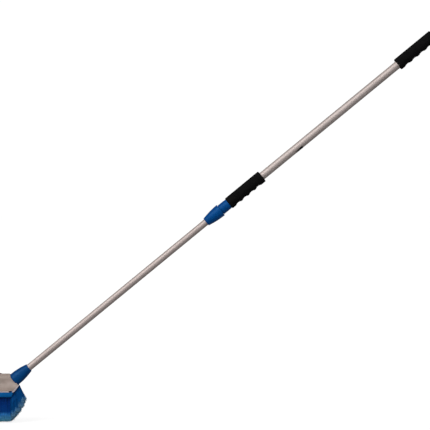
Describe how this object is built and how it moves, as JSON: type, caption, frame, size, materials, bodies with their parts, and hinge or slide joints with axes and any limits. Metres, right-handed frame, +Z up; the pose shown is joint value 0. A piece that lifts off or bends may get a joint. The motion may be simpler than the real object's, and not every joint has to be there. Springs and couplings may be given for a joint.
{
  "type": "telescopic pole brush",
  "caption": "Telescopic aluminium pole with twist lock and foam grips, carrying an angled brush head with soft flagged bristles.",
  "frame": {"origin": "centre of the flat face swept by the bristle tips", "axes": "+Z up and away from the swept surface, +X along the head towards the handle, +Y across the head"},
  "size_m": [1.59, 0.108, 1.2313],
  "materials": {
    "anodised_aluminium": "satin, warm silver",
    "blue_plastic": "moulded, half gloss",
    "black_foam": "closed-cell foam, matt",
    "black_plastic": "moulded, fine texture",
    "taupe_plastic": "moulded, satin",
    "blue_bristle": "soft fibre, split pale tips",
    "white_acetal": "machined plastic",
    "steel": "bright zinc",
    "label_film": "printed film, plain"
  },
  "bodies": {
    "handle": {"outer_tube": "anodised_aluminium", "lower_grip": "black_foam", "upper_grip": "black_foam", "end_cap": "black_plastic", "lock_sleeve": "blue_plastic", "sleeve_rivets": "steel", "plain_label": "label_film"},
    "clamp": {"lock_collet": "white_acetal", "thrust_washer": "steel"},
    "collar": {"lock_collar": "blue_plastic"},
    "guide": {"guide_bush": "white_acetal"},
    "brush": {"inner_tube": "anodised_aluminium", "bush_pins": "steel", "head_ferrule": "blue_plastic", "ferrule_rivets": "steel", "threaded_stud": "white_acetal", "head_cover": "taupe_plastic", "socket_insert": "white_acetal", "socket_plug": "black_plastic", "bristle_block": "blue_plastic", "cover_screws": "steel", "bristles_bottom": "blue_bristle", "bristles_front": "blue_bristle", "bristles_back": "blue_bristle", "bristles_handle_end": "blue_bristle", "bristles_far_end": "blue_bristle"}
  },
  "joints": [
    {"name": "telescope", "type": "slide", "parent": "handle", "child": "guide", "axis": [0.7727, 0, 0.6347], "range_m": [-0.095, 0.712]},
    {"name": "pole_turn", "type": "hinge", "parent": "guide", "child": "brush", "pos_m": [0.10745, 0, 0.129], "axis": [0.7727, 0, 0.6347], "continuous": true},
    {"name": "lock_travel", "type": "slide", "parent": "handle", "child": "clamp", "axis": [-0.7727, 0, -0.6347], "range_m": [0, 0.0015]},
    {"name": "lock_turn", "type": "hinge", "parent": "clamp", "child": "collar", "pos_m": [0.70894, 0, 0.62308], "axis": [0.7727, 0, 0.6347], "range_deg": [0, 180]}
  ],
  "couplings": [
    {"joint": "lock_turn", "follows": "lock_travel", "rad_per_m": 2094.4}
  ]
}
